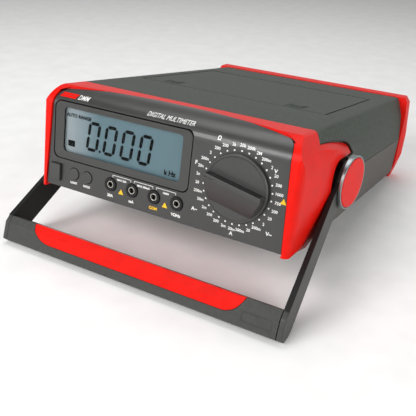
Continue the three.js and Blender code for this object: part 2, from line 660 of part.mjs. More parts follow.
// The hub's face leans a little to the front, so the cap is cut off by a canted plane.
function cantedSlab(x0, x1) {
  const slab = box(x0, x1, -40, 40, -40, 40).rotateZ(-radians(HUB.cant));
  return slab.translate(HUB.face, HUB.y, HUB.z);
}
function hubRod(radius) {
  return rodX(HUB.y, HUB.z, radius, HUB.base, OUTSIDE, 48);
}
function hubRing() {
  const cup = common(hubRod(HUB.radius), cantedSlab(-30, 0));
  return cut(cup, common(hubRod(HUB.disc + GAP), cantedSlab(-HUB.discThick - GAP, 9)));
}
function hubDisc() {
  return common(hubRod(HUB.disc), cantedSlab(-HUB.discThick, 0.2));
}
function pivotBoss() {
  const drum = rodX(HUB.y, HUB.z, BOSS.drum, HALF_RECESS + GAP, HANDLE.inner - GAP, 32);
  const journal = rodX(HUB.y, HUB.z, BOSS.journal, HANDLE.inner - 1, HUB.base - GAP, 24);
  const neck = rodX(HUB.y, HUB.z, BOSS.neck, HALF_RECESS - 12, HALF_RECESS + 1, 20);
  return join(drum, journal, neck);
}

// ---------- assembly ----------
const instrument = new THREE.Group();
instrument.rotation.x = radians(-BENCH_TILT);

function add(name, geometry, material, x = 0, y = 0, z = 0) {
  const piece = mesh(name, geometry, material);
  piece.position.set(x, y, z);
  instrument.add(piece);
  return piece;
}
function addPair(name, geometry, material) {
  add(`${name}_right`, geometry, material);
  add(`${name}_left`, mirrored(geometry), material);
}

add("front_bezel", frontBezel(), RED);
add("front_panel", frontPanel(), CHARCOAL);
add("display_surround", displaySurround(), CHARCOAL);
add("display_lens", displayLens(), GLASS);
add("lcd_module", lcdModule(), LCD);
add("display_carrier", displayCarrier(), BLACK);
jackPlaces().forEach((x, i) => {
  add(`input_jack_${i + 1}`, jackHousing(), BLACK, x, 0, JACK.z);
  add(`jack_sleeve_${i + 1}`, jackSleeve(), BRASS, x, 0, JACK.z);
});
const knob = add("range_knob", rangeKnob(), CHARCOAL, KNOB.x, 0, KNOB.z);
knob.rotation.y = radians(KNOB.angle);
add("knob_shaft", knobShaft(), BLACK, KNOB.x, 0, KNOB.z);
add("rotary_switch", rotarySwitch(), BLACK);
add("power_button", powerButton(), CHARCOAL);
add("power_switch", powerSwitch(), BLACK);
BUTTON.xs.forEach((x, i) => {
  add(`function_button_${i + 1}`, functionButton(), CHARCOAL, x, 0, BUTTON.z);
  add(`button_switch_${i + 1}`, buttonSwitch(), BLACK, x, 0, BUTTON.z);
});
add("front_board", frontBoard(), BOARD);

add("upper_case", upperCase(), MID_GREY);
add("lower_case", lowerCase(), LOWER_GREY);
add("compartment_lid", compartmentLid(), MID_GREY);
add("lid_hinge_rod", lidHingeRod(), STEEL);
LATCH.xs.forEach((x, i) => {
  add(`lid_latch_${i + 1}`, lidLatch(), MID_GREY, x, LID.y0 + LATCH.setback + GAP, CASE_TOP - 0.2);
});
add("accessory_tray", accessoryTray(), DARK_GREY);
add("rear_panel", rearPanel(), DARK_GREY);
add("rear_bumper", rearBumper(), RED);
add("power_inlet", powerInlet(), BLACK);
add("fuse_holder", fuseHolder(), BLACK);
add("main_board", mainBoard(), BOARD);
add("transformer", transformer(), STEEL);
add("input_fuse", inputFuse(), GLASS);
add("smoothing_capacitor", smoothingCapacitor(), BLACK);
for (const [name, y] of [["front_foot", FEET.front], ["rear_foot", FEET.rear]]) {
  add(`${name}_right`, foot(), RUBBER, FEET.x, y, 0);
  add(`${name}_left`, foot(), RUBBER, -FEET.x, y, 0);
}
addPair("pivot_boss", pivotBoss(), BLACK);
addPair("hub_ring", hubRing(), STEEL);
addPair("hub_disc", hubDisc(), RED);

const handle = new THREE.Group();
handle.position.set(0, HUB.y, HUB.z);
handle.rotation.x = radians(HANDLE.drop);
handle.add(mesh("handle_arm_right", handleArm(), DARK_GREY));
handle.add(mesh("handle_arm_left", mirrored(handleArm()), DARK_GREY));
handle.add(mesh("handle_crossbar", handleCrossbar(), DARK_GREY));
handle.add(mesh("handle_grip", handleGrip(), RED));
instrument.add(handle);

// The origin goes to the middle of the object's footprint, on the bench.
const multimeter = new THREE.Group();
multimeter.add(instrument);
multimeter.updateMatrixWorld(true);
const reach = new THREE.Box3().setFromObject(multimeter, true);
instrument.position.set(0, -(reach.min.y + reach.max.y) / 2, -reach.min.z);

export default multimeter;
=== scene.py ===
"""Looks of the bench multimeter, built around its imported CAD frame.

Sizes of the pieces made here are in millimetres, in the instrument's own frame: X to the right,
Y to the rear, Z up, with the origin at the middle of the front panel's lower edge.
instrument_matrix() takes that frame to the row frame in metres.
"""

import json
import math

import bmesh
import bpy
from mathutils import Matrix, Vector


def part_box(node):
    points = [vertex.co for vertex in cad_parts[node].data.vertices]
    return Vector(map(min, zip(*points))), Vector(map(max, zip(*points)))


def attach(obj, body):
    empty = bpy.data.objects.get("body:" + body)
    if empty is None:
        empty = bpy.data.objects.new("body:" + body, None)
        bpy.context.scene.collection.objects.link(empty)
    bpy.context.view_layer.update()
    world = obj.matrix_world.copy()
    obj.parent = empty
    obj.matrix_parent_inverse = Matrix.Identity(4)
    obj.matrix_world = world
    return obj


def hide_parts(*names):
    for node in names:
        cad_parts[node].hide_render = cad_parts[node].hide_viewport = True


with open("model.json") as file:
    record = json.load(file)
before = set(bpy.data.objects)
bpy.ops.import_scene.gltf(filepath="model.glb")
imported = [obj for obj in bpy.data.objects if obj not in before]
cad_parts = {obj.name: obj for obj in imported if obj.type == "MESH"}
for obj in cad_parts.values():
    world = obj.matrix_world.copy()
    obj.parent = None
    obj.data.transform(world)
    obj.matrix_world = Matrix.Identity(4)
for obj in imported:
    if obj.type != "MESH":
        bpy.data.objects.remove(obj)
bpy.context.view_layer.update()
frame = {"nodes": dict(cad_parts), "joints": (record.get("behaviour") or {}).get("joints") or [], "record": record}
nodes = frame["nodes"]
joints = {joint["name"]: joint for joint in frame["joints"]}

# ---------- driving dimensions, mm ----------
KNOB = {"x": 62.0, "z": 36.6, "radius": 23.2, "base": 3.2, "bar": 10.5, "bar_half": 4.2, "angle": 10.5}
HANDLE_DROP = 36.9      # how far the handle hangs forward and down, in degrees
HUB = {"y": 80.0, "z": 37.0}
PANEL_TOP = 77.9        # height of the panel's rolled top edge
ROLL_START = 62.0       # the panel's face rolls back above this height
ROLL_DEPTH = 24.0
LCD_FACE = 2.75         # how deep the display's face lies behind the panel's face
JACKS = {"first": -38.8, "pitch": 19.0, "count": 4}
BUTTON_XS = (-73.2, -60.8)
LID = {"y0": 105.0, "top": 77.5}
LATCH_XS = (-62.0, 53.0)
LATCH_RIB = {"count": 4, "pitch": 1.5, "width": 0.7, "half": 5.5, "from_edge": 4.6}
REAR_FACE = 294.0       # outer face of the rear panel
REAR_SCREWS = {"x": 84.0, "zs": (14.0, 62.0), "radius": 2.9}
VENT_SCREEN = {"x0": 5.0, "x1": 73.0, "z0": 13.0, "z1": 43.0, "back": 4.0, "front": 3.3}
INLET_PINS = {"places": ((-67.0, 24.5), (-53.0, 24.5), (-60.0, 29.5)), "y0": 280.5, "y1": 292.0}
PRINT = 0.06            # how far printed marks stand proud


def instrument_matrix():
    """From the instrument's own frame, in mm, to the row frame, in metres."""
    dial = joints["range_select"]
    y_axis = -Vector(dial["axis"]).normalized()
    x_axis = Vector((1, 0, 0))
    z_axis = x_axis.cross(y_axis)
    turn = Matrix((x_axis, y_axis, z_axis)).transposed()
    origin = Vector(dial["pos_m"]) - turn @ (Vector((KNOB["x"], 0, KNOB["z"])) / 1000)
    return Matrix.Translation(origin) @ turn.to_4x4() @ Matrix.Scale(0.001, 4)


INSTRUMENT = instrument_matrix()
HANDLE = (
    INSTRUMENT
    @ Matrix.Translation((0, HUB["y"], HUB["z"]))
    @ Matrix.Rotation(math.radians(HANDLE_DROP), 4, "X")
)


# ---------- materials ----------
def linear(hex_colour):
    """A colour written as on screen, such as "e2231a", as the linear values that shaders take."""
    parts = [int(hex_colour[i : i + 2], 16) / 255 for i in (0, 2, 4)]
    return [p / 12.92 if p <= 0.04045 else ((p + 0.055) / 1.055) ** 2.4 for p in parts] + [1.0]


def shade(colour, factor):
    """The same colour, darker or lighter."""
    return [min(1.0, c * factor) for c in colour[:3]] + [1.0]


def start_material(name, roughness):
    material = bpy.data.materials.new(name)
    material.use_nodes = True
    shader = material.node_tree.nodes["Principled BSDF"]
    shader.inputs["Roughness"].default_value = roughness
    return material, material.node_tree, shader


def noise_of(tree, size_mm, detail=2.0, stretch=None):
    """A noise texture whose patches are about size_mm across, fixed to the piece."""
    place = tree.nodes.new("ShaderNodeTexCoord")
    noise = tree.nodes.new("ShaderNodeTexNoise")
    noise.inputs["Scale"].default_value = 1000 / size_mm
    noise.inputs["Detail"].default_value = detail
    if stretch is None:
        tree.links.new(place.outputs["Object"], noise.inputs["Vector"])
        return noise
    mapping = tree.nodes.new("ShaderNodeMapping")
    mapping.inputs["Scale"].default_value = stretch
    tree.links.new(place.outputs["Object"], mapping.inputs["Vector"])
    tree.links.new(mapping.outputs["Vector"], noise.inputs["Vector"])
    return noise


def two_tone(tree, source, dark, light, low=0.35, high=0.65):
    """A ramp between two colours, driven by a 0 to 1 source."""
    ramp = tree.nodes.new("ShaderNodeValToRGB")
    ramp.color_ramp.elements[0].position = low
    ramp.color_ramp.elements[0].color = dark
    ramp.color_ramp.elements[1].position = high
    ramp.color_ramp.elements[1].color = light
    tree.links.new(source, ramp.inputs["Fac"])
    return ramp


def spread(tree, source, low, high):
    """Maps a 0 to 1 texture onto low to high."""
    node = tree.nodes.new("ShaderNodeMapRange")
    node.inputs["To Min"].default_value = low
    node.inputs["To Max"].default_value = high
    tree.links.new(source, node.inputs["Value"])
    return node


def roughen(tree, shader, size_mm, depth_mm, stretch=None):
    """Fine relief of the moulded surface."""
    grain = noise_of(tree, size_mm, 2.0, stretch)
    bump = tree.nodes.new("ShaderNodeBump")
    bump.inputs["Strength"].default_value = 0.6
    bump.inputs["Distance"].default_value = depth_mm / 1000
    tree.links.new(grain.outputs["Fac"], bump.inputs["Height"])
    tree.links.new(bump.outputs["Normal"], shader.inputs["Normal"])


def moulded_plastic(name, colour, roughness, mottle, patch, grain, depth, gloss=0.3):
    """Injection-moulded plastic: patches of colour drift and a fine spark-eroded grain, sizes in mm."""
    material, tree, shader = start_material(name, roughness)
    drift = noise_of(tree, patch, 5.0)
    tones = two_tone(tree, drift.outputs["Fac"], shade(colour, 1 - mottle), shade(colour, 1 + mottle))
    tree.links.new(tones.outputs["Color"], shader.inputs["Base Color"])
    shine = spread(tree, drift.outputs["Fac"], roughness - 0.06, roughness + 0.06)
    tree.links.new(shine.outputs["Result"], shader.inputs["Roughness"])
    shader.inputs["Specular IOR Level"].default_value = gloss
    roughen(tree, shader, grain, depth)
    return material


def brushed_metal(name, colour, roughness, stretch=(1, 1, 14)):
    material, tree, shader = start_material(name, roughness)
    shader.inputs["Metallic"].default_value = 1.0
    streaks = noise_of(tree, 3.0, 4.0, stretch)
    tones = two_tone(tree, streaks.outputs["Fac"], shade(colour, 0.86), shade(colour, 1.1))
    tree.links.new(tones.outputs["Color"], shader.inputs["Base Color"])
    shine = spread(tree, streaks.outputs["Fac"], roughness - 0.08, roughness + 0.08)
    tree.links.new(shine.outputs["Result"], shader.inputs["Roughness"])
    roughen(tree, shader, 0.5, 0.004, stretch)
    return material


def clear_glass(name):
    material, tree, shader = start_material(name, 0.06)
    smear = noise_of(tree, 18.0, 3.0)
    shine = spread(tree, smear.outputs["Fac"], 0.03, 0.12)
    tree.links.new(shine.outputs["Result"], shader.inputs["Roughness"])
    tones = two_tone(tree, smear.outputs["Fac"], linear("1b2124"), linear("252c30"))
    tree.links.new(tones.outputs["Color"], shader.inputs["Base Color"])
    shader.inputs["Alpha"].default_value = 0.04
    return material


def lcd_glass(name):
    """The reflective display: blue-grey with a faint pixel weave, and painted light: lighter towards its left end,
    darker towards the right.
    """
    material, tree, shader = start_material(name, 0.35)
    low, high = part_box("lcd_module")
    place = tree.nodes.new("ShaderNodeTexCoord")
    split = tree.nodes.new("ShaderNodeSeparateXYZ")
    tree.links.new(place.outputs["Object"], split.inputs["Vector"])
    across = tree.nodes.new("ShaderNodeMapRange")
    across.inputs["From Min"].default_value = low.x
    across.inputs["From Max"].default_value = high.x
    tree.links.new(split.outputs["X"], across.inputs["Value"])
    # Painted light: the face fades from light at its left end to darker blue-grey towards the right.
    ramp = two_tone(tree, across.outputs["Result"], linear("8e999d"), linear("546f78"), 0.02, 0.3)
    weave = noise_of(tree, 0.8, 1.0)
    faint = spread(tree, weave.outputs["Fac"], 0.93, 1.07)
    mixed = tree.nodes.new("ShaderNodeVectorMath")
    mixed.operation = "SCALE"
    tree.links.new(ramp.outputs["Color"], mixed.inputs[0])
    tree.links.new(faint.outputs["Result"], mixed.inputs["Scale"])
    tree.links.new(mixed.outputs["Vector"], shader.inputs["Base Color"])
    return material


def printed_ink(name, colour, gloss=0.5):
    """Screen-printed marks, a little uneven."""
    material, tree, shader = start_material(name, 0.6)
    shader.inputs["Specular IOR Level"].default_value = gloss
    uneven = noise_of(tree, 1.2, 3.0)
    tones = two_tone(tree, uneven.outputs["Fac"], shade(colour, 0.88), colour)
    tree.links.new(tones.outputs["Color"], shader.inputs["Base Color"])
    return material


def circuit_laminate(name):
    material, tree, shader = start_material(name, 0.4)
    tracks = tree.nodes.new("ShaderNodeTexVoronoi")
    tracks.feature = "DISTANCE_TO_EDGE"
    tracks.inputs["Scale"].default_value = 160
    place = tree.nodes.new("ShaderNodeTexCoord")
    tree.links.new(place.outputs["Object"], tracks.inputs["Vector"])
    ramp = two_tone(tree, tracks.outputs["Distance"], linear("3f8a55"), linear("17472b"), 0.02, 0.08)
    tree.links.new(ramp.outputs["Color"], shader.inputs["Base Color"])
    roughen(tree, shader, 2.0, 0.02)
    return material


RED = moulded_plastic("red_gloss_plastic", linear("d81206"), 0.42, 0.06, 12.0, 0.9, 0.02, gloss=0.12)
PANEL = moulded_plastic("panel_plastic", linear("313130"), 0.36, 0.05, 8.0, 0.6, 0.015, gloss=0.6)
UPPER = moulded_plastic("upper_case_plastic", linear("3a4039"), 0.6, 0.34, 2.6, 0.9, 0.1)
LOWER = moulded_plastic("lower_case_plastic", linear("504d48"), 0.6, 0.22, 2.6, 0.9, 0.08)
GREY_GRIP = moulded_plastic("handle_plastic", linear("3d3e3b"), 0.46, 0.1, 3.0, 0.8, 0.04)
BLACK = moulded_plastic("black_plastic", linear("121212"), 0.45, 0.1, 6.0, 0.6, 0.015)
INNER = moulded_plastic("inner_plastic", linear("3a3d3d"), 0.6, 0.08, 6.0, 0.9, 0.03)
RUBBER = moulded_plastic("foot_rubber", linear("1d1d1d"), 0.85, 0.12, 4.0, 0.5, 0.05)
GLASS = clear_glass("display_glass")
FUSE_GLASS = clear_glass("fuse_glass")
LCD = lcd_glass("lcd_face")
NICKEL = brushed_metal("jack_nickel", linear("b9b7b0"), 0.3)
STEEL = brushed_metal("steel", linear("b4b6b8"), 0.34)
HUB_METAL = brushed_metal("hub_metal", linear("8f9597"), 0.34, (1, 9, 9))
LAMINATE = circuit_laminate("circuit_board")
WHITE_INK = printed_ink("white_ink", linear("e9e9e6"))
YELLOW_INK = printed_ink("yellow_ink", linear("f2bd10"))
DARK_INK = printed_ink("display_ink", linear("040506"), 0.1)
GROOVE_INK = printed_ink("groove_shadow", linear("1b1c1c"))

SLOT_MATERIALS = {
    "red_plastic": RED,
    "panel_plastic": PANEL,
    "case_upper": UPPER,
    "case_lower": LOWER,
    "handle_plastic": GREY_GRIP,
    "display_glass": GLASS,
    "fuse_glass": FUSE_GLASS,
    "lcd_face": LCD,
    "black_plastic": BLACK,
    "inner_plastic": INNER,
    "jack_metal": NICKEL,
    "circuit_board": LAMINATE,
    "steel": STEEL,
    "hub_metal": HUB_METAL,
    "foot_rubber": RUBBER,
}


# ---------- modifiers ----------
def weld_group():
    """Joins the split corners of an imported mesh and drops its stored normals."""
    group = bpy.data.node_groups.new("weld_corners", "GeometryNodeTree")
    group.interface.new_socket("Geometry", in_out="INPUT", socket_type="NodeSocketGeometry")
    group.interface.new_socket("Geometry", in_out="OUTPUT", socket_type="NodeSocketGeometry")
    start = group.nodes.new("NodeGroupInput")
    end = group.nodes.new("NodeGroupOutput")
    drop = group.nodes.new("GeometryNodeRemoveAttribute")
    drop.inputs["Name"].default_value = "custom_normal"
    merge = group.nodes.new("GeometryNodeMergeByDistance")
    merge.inputs["Distance"].default_value = 2e-6
    group.links.new(start.outputs[0], drop.inputs["Geometry"])
    group.links.new(drop.outputs["Geometry"], merge.inputs["Geometry"])
    group.links.new(merge.outputs["Geometry"], end.inputs[0])
    return group


def smooth_group(limit_deg):
    """Shades smooth except across edges sharper than the limit."""
    group = bpy.data.node_groups.new("smooth_by_angle", "GeometryNodeTree")
    group.interface.new_socket("Geometry", in_out="INPUT", socket_type="NodeSocketGeometry")
    group.interface.new_socket("Geometry", in_out="OUTPUT", socket_type="NodeSocketGeometry")
    start = group.nodes.new("NodeGroupInput")
    end = group.nodes.new("NodeGroupOutput")
    faces = group.nodes.new("GeometryNodeSetShadeSmooth")
    faces.domain = "FACE"
    faces.inputs["Shade Smooth"].default_value = True
    angle = group.nodes.new("GeometryNodeInputMeshEdgeAngle")
    sharp = group.nodes.new("FunctionNodeCompare")
    sharp.data_type = "FLOAT"
    sharp.operation = "GREATER_THAN"
    sharp.inputs[1].default_value = math.radians(limit_deg)
    edges = group.nodes.new("GeometryNodeSetShadeSmooth")
    edges.domain = "EDGE"
    edges.inputs["Shade Smooth"].default_value = False
    group.links.new(start.outputs[0], faces.inputs["Geometry"])
    group.links.new(angle.outputs["Unsigned Angle"], sharp.inputs[0])
    group.links.new(faces.outputs["Geometry"], edges.inputs["Geometry"])
    group.links.new(sharp.outputs["Result"], edges.inputs["Selection"])
    group.links.new(edges.outputs["Geometry"], end.inputs[0])
    return group


WELD = weld_group()
SMOOTH = smooth_group(32)


def node_modifier(obj, group):
    modifier = obj.modifiers.new(group.name, "NODES")
    modifier.node_group = group


def round_edges(obj, width_mm, segments=3, imported=False):
    """Rounds the hard edges, then shades smooth."""
    if imported:
        node_modifier(obj, WELD)
        flat = obj.modifiers.new("merge_flat_faces", "DECIMATE")
        flat.decimate_type = "DISSOLVE"
        flat.angle_limit = math.radians(0.6)
    if width_mm > 0:
        bevel = obj.modifiers.new("round_edges", "BEVEL")
        bevel.width = width_mm / 1000
        bevel.segments = segments
        bevel.limit_method = "ANGLE"
        bevel.angle_limit = math.radians(28)
        bevel.use_clamp_overlap = True
    node_modifier(obj, SMOOTH)
    obj.modifiers.new("even_normals", "WEIGHTED_NORMAL").keep_sharp = True


EDGE_RADIUS = {
    "front_bezel": 0.9,
    "front_panel": 0.4,
    "display_surround": 0.6,
    "power_button": 0.35,
    "function_button_1": 0.5,
    "function_button_2": 0.5,
    "upper_case": 0.4,
    "lower_case": 0.4,
    "compartment_lid": 0.4,
    "rear_bumper": 2.0,
    "hub_ring_right": 0.4,
    "hub_ring_left": 0.4,
    "hub_disc_right": 0.35,
    "hub_disc_left": 0.35,
    "handle_arm_right": 0.7,
    "handle_arm_left": 0.7,
    "handle_crossbar": 0.9,
    "handle_grip": 0.45,
}
PLAIN_EDGE = 0.2


def dress_cad_nodes():
    """Gives every CAD node the material of its slot, and rounds its moulded edges."""
    for subpart in frame["record"]["subparts"]:
        name = subpart["node"]
        node = nodes[name]
        node.data.materials.clear()
        node.data.materials.append(SLOT_MATERIALS[subpart["material_slot"]])
        round_edges(node, EDGE_RADIUS.get(name, PLAIN_EDGE), 3, imported=True)


# ---------- mesh helpers ----------
def placed(points, depth, axis):
    """Outline points as 3-D points at one depth along an axis: u and v run along the other two."""
    if axis == "X":
        return [(depth, u, v) for u, v in points]
    if axis == "Y":
        return [(u, depth, v) for u, v in points]
    return [(u, v, depth) for u, v in points]


def add_prism(bm, points, low, high, axis="Y", low_points=None):
    """A closed prism over an outline; its low end may have an outline of its own."""
    start = [bm.verts.new(p) for p in placed(low_points or points, low, axis)]
    end = [bm.verts.new(p) for p in placed(points, high, axis)]
    bm.faces.new(start)
    bm.faces.new(end)
    count = len(points)
    for i in range(count):
        bm.faces.new((start[i], start[(i + 1) % count], end[(i + 1) % count], end[i]))


def rectangle(u0, u1, v0, v1):
    return [(u0, v0), (u1, v0), (u1, v1), (u0, v1)]


def round_rectangle(u0, u1, v0, v1, radius, steps=6):
    points = []
    corners = [(u1 - radius, v0 + radius, -90), (u1 - radius, v1 - radius, 0),
               (u0 + radius, v1 - radius, 90), (u0 + radius, v0 + radius, 180)]
    for cu, cv, first in corners:
        for i in range(steps + 1):
            angle = math.radians(first + 90 * i / steps)
            points.append((cu + radius * math.cos(angle), cv + radius * math.sin(angle)))
    return points


def circle(u, v, radius, count=32):
    turns = [2 * math.pi * i / count for i in range(count)]
    return [(u + radius * math.cos(t), v + radius * math.sin(t)) for t in turns]


def add_lathe(bm, profile, count=96):
    """A closed solid turned about Y: profile is (radius, y) from the axis out and back to the axis."""
    rings = []
    for radius, y in profile:
        if radius < 1e-6:
            rings.append([bm.verts.new((0, y, 0))])
        else:
            rings.append([bm.verts.new((u, y, v)) for u, v in circle(0, 0, radius, count)])
    for inner, outer in zip(rings, rings[1:]):
        for i in range(count):
            j = (i + 1) % count
            corners = []
            for vert in (inner[i % len(inner)], inner[j % len(inner)],
                         outer[j % len(outer)], outer[i % len(outer)]):
                if vert not in corners:
                    corners.append(vert)
            bm.faces.new(corners)


def make_piece(name, bm, material, body, matrix=None, bevel=0.0, segments=3, replaces=()):
    """Turns mesh code's result into a piece that rides on a body."""
    bmesh.ops.recalc_face_normals(bm, faces=bm.faces)
    bm.transform(INSTRUMENT if matrix is None else matrix)
    mesh = bpy.data.meshes.new(name)
    bm.to_mesh(mesh)
    bm.free()
    mesh.materials.append(material)
    piece = bpy.data.objects.new(name, mesh)
    bpy.context.scene.collection.objects.link(piece)
    round_edges(piece, bevel, segments)
    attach(piece, body)
    if replaces:
        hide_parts(*replaces)
    return piece


# ---------- prints on the panel ----------
def on_face(x, z, lift=0.0):
    """The point of the panel's skin at height z, raised by lift. The skin rolls back near the top."""
    rise = PANEL_TOP - ROLL_START
    if z <= ROLL_START:
        return Vector((x, -lift, z))
    angle = math.asin(min(1.0, (z - ROLL_START) / rise))
    out = Vector((0, -math.cos(angle) / ROLL_DEPTH, math.sin(angle) / rise)).normalized()
    skin = Vector((x, ROLL_DEPTH * (1 - math.cos(angle)), ROLL_START + rise * math.sin(angle)))
    return skin + out * lift


def wrap_print(bm, thickness=PRINT):
    """Lays flat marks, drawn in X and Z with Y from 0 to 1, onto the panel's skin."""
    for vert in bm.verts:
        x, y, z = vert.co
        vert.co = on_face(x, z, thickness if y < 0.5 else -thickness)


def add_letters(bm, text, x, z, size, slant=0.0, weight=0.025):
    """Lettering in X and Z with its face at Y 0 and its back at Y 1."""
    curve = bpy.data.curves.new("letters", "FONT")
    curve.body = text
    curve.size = size
    curve.shear = slant
    curve.align_x = "CENTER"
    curve.align_y = "CENTER"
    curve.resolution_u = 2
    curve.offset = size * weight
    curve.extrude = 0.5
    holder = bpy.data.objects.new("letters", curve)
    bpy.context.scene.collection.objects.link(holder)
    bpy.context.view_layer.update()
    mesh = bpy.data.meshes.new_from_object(holder.evaluated_get(bpy.context.evaluated_depsgraph_get()))
    upright = Matrix.Translation((x, 0.5, z)) @ Matrix.Rotation(math.radians(90), 4, "X")
    mesh.transform(upright)
    bm.from_mesh(mesh)
    bpy.data.objects.remove(holder)
    bpy.data.curves.remove(curve)
    bpy.data.meshes.remove(mesh)


def close_print(bm):
    """Joins the letters' loose corners, so that each mark is closed."""
    bmesh.ops.remove_doubles(bm, verts=bm.verts, dist=1e-4)


def add_mark(bm, points):
    """A flat mark over an outline in X and Z, for wrap_print to lay on the panel."""
    add_prism(bm, points, 0, 1)


def add_stroke(bm, x0, z0, x1, z1, width):
    """A straight printed line."""
    along = Vector((x1 - x0, z1 - z0)).normalized()
    side = Vector((-along.y, along.x)) * width / 2
    add_mark(bm, [(x0 + side.x, z0 + side.y), (x0 - side.x, z0 - side.y),
                  (x1 - side.x, z1 - side.y), (x1 + side.x, z1 + side.y)])


DIAL_STOPS = 30
DIAL_DOTS = {"ring": 25.2, "radius": 0.62}
DIAL_LABELS = {"across": 29.8, "up": 28.8, "size": 2.9}     # the labels' ring is slightly wider than high
DIAL_SCALES = [
    ("V", 87.0, 54.0, ["200m", "2", "20", "200", "1000"]),
    ("V~", 88.8, 11.6, ["750", "200", "20", "2", "200m"]),
    ("A", 62.0, 4.6, ["20", "200m", "20m", "2m", "200"]),
    ("A~", 32.4, 14.2, ["200", "2m", "20m", "200m", "20"]),
    ("F", 30.0, 47.0, ["2n", "20n", "200n", "2", "200"]),
    ("Ω", 44.6, 66.4, ["200", "2k", "20k", "200k", "2M"]),
]


def dial_print():
    """Stop dots, range numbers and unit letters around the selector."""
    bm = bmesh.new()
    labels = [label for scale in DIAL_SCALES for label in scale[3]]
    for i in range(DIAL_STOPS):
        angle = math.radians(60 - (i + 0.5) * 360 / DIAL_STOPS)
        u, v = math.cos(angle), math.sin(angle)
        ring = DIAL_DOTS["ring"]
        add_mark(bm, circle(KNOB["x"] + ring * u, KNOB["z"] + ring * v, DIAL_DOTS["radius"], 10))
        label_x = KNOB["x"] + DIAL_LABELS["across"] * u
        label_z = KNOB["z"] + DIAL_LABELS["up"] * v
        add_letters(bm, labels[i], label_x, label_z, DIAL_LABELS["size"], weight=0.02)
    for unit, x, z, _ in DIAL_SCALES:
        add_letters(bm, unit, x, z, 3.6, weight=0.03)
    close_print(bm)
    wrap_print(bm)
    make_piece("dial_print", bm, WHITE_INK, "housing")


def jack_xs():
    return [JACKS["first"] + i * JACKS["pitch"] for i in range(JACKS["count"])]


def terminal_print():
    """Terminal letters, the brackets above the terminals, and the button names."""
    bm = bmesh.new()
    xs = jack_xs()
    for x, text in zip(xs, ["20A", "mA", None, "VΩHz"]):
        if text:
            add_letters(bm, text, x, 5.4, 3.0, weight=0.04)
    line_z = 21.4
    inset, width, drop = 1.5, 0.35, 1.6
    for x0, x1 in zip(xs, xs[1:]):
        add_stroke(bm, x0 + inset, line_z, x1 - inset, line_z, width)
        for x in (x0 + inset, x1 - inset):
            add_stroke(bm, x, line_z + 0.17, x, line_z - drop, width)
    for x, text in zip([(a + b) / 2 for a, b in zip(xs, xs[1:])], ["MAX 20A", "MAX 200mA", "1000V"]):
        add_letters(bm, text, x, 18.9, 2.0, weight=0.04)
    for x, text in zip(BUTTON_XS, ["LIGHT", "HOLD"]):
        add_letters(bm, text, x, 6.4, 2.3, weight=0.04)
    add_letters(bm, "DIGITAL MULTIMETER", 4.5, 71.0, 3.9, slant=0.2, weight=0.0)
    add_letters(bm, "DMM", -71.0, 71.0, 4.2, slant=0.2, weight=0.01)
    close_print(bm)
    wrap_print(bm, 2 * PRINT)
    make_piece("terminal_print", bm, WHITE_INK, "housing")


TRIANGLES = {"places": ((-29.3, 9.8), (8.7, 9.8), (95.2, 35.3)), "radius": 2.6}


def caution_print():
    """Plain yellow triangles, and the common terminal's letters."""
    bm = bmesh.new()
    radius = TRIANGLES["radius"]
    for x, z in TRIANGLES["places"]:
        corners = (math.pi / 2, 7 * math.pi / 6, 11 * math.pi / 6)
        add_mark(bm, [(x + radius * math.cos(a), z + radius * math.sin(a)) for a in corners])
    add_letters(bm, "COM", jack_xs()[2], 5.4, 3.0, weight=0.04)
    close_print(bm)
    wrap_print(bm)
    make_piece("caution_print", bm, YELLOW_INK, "housing")


RIBS = {"count": 44, "first": -64.0, "pitch": 1.9, "width": 0.8, "slant": 0.7, "low": 64.0, "high": 65.6}


def surround_ribs():
    """A row of fine slanted ribs along the display surround's upper border."""
    bm = bmesh.new()
    low, high, width, slant = (RIBS[k] for k in ("low", "high", "width", "slant"))
    for i in range(RIBS["count"]):
        x = RIBS["first"] + i * RIBS["pitch"]
        add_mark(bm, [(x, low), (x + width, low), (x + width + slant, high), (x + slant, high)])
    for vert in bm.verts:
        vert.co.y = 0.05 if vert.co.y < 0.5 else 0.4
    make_piece("surround_ribs", bm, GREY_GRIP, "housing")


def badge():
    """A blank red badge at the panel's upper left."""
    bm = bmesh.new()
    add_mark(bm, [(-92.5, 69.6), (-78.0, 69.6), (-76.2, 72.6), (-90.7, 72.6)])
    wrap_print(bm, 0.12)
    make_piece("blank_badge", bm, RED, "housing")


# ---------- display ----------
DIGIT = {
    "width": 8.6,
    "height": 20.0,
    "stroke": 2.5,
    "gap": 0.35,        # between the ends of two bars
    "lean": 0.12,
    "first": -64.6,     # left side of the first digit
    "pitch": 15.3,
    "foot": 34.9,
    "count": 4,
}


def segment(x0, z0, x1, z1, stroke):
    """One bar of a seven-segment digit, with pointed ends."""
    along = Vector((x1 - x0, z1 - z0)).normalized()
    side = Vector((-along.y, along.x)) * stroke / 2
    tip = along * stroke / 2
    a, b = Vector((x0, z0)), Vector((x1, z1))
    corners = [a, a + tip + side, b - tip + side, b, b - tip - side, a + tip - side]
    return [(p.x, p.y) for p in corners]


def digit_zero(left, foot):
    """The six lit bars of a zero, leaning to the right."""
    w, h, s, gap = (DIGIT[k] for k in ("width", "height", "stroke", "gap"))
    bars = [
        (0, gap, 0, h / 2 - gap), (0, h / 2 + gap, 0, h - gap),
        (w, gap, w, h / 2 - gap), (w, h / 2 + gap, w, h - gap),
        (gap, 0, w - gap, 0), (gap, h, w - gap, h),
    ]
    shapes = []
    for x0, z0, x1, z1 in bars:
        shapes.append([(left + x + z * DIGIT["lean"], foot + z) for x, z in segment(x0, z0, x1, z1, s)])
    return shapes


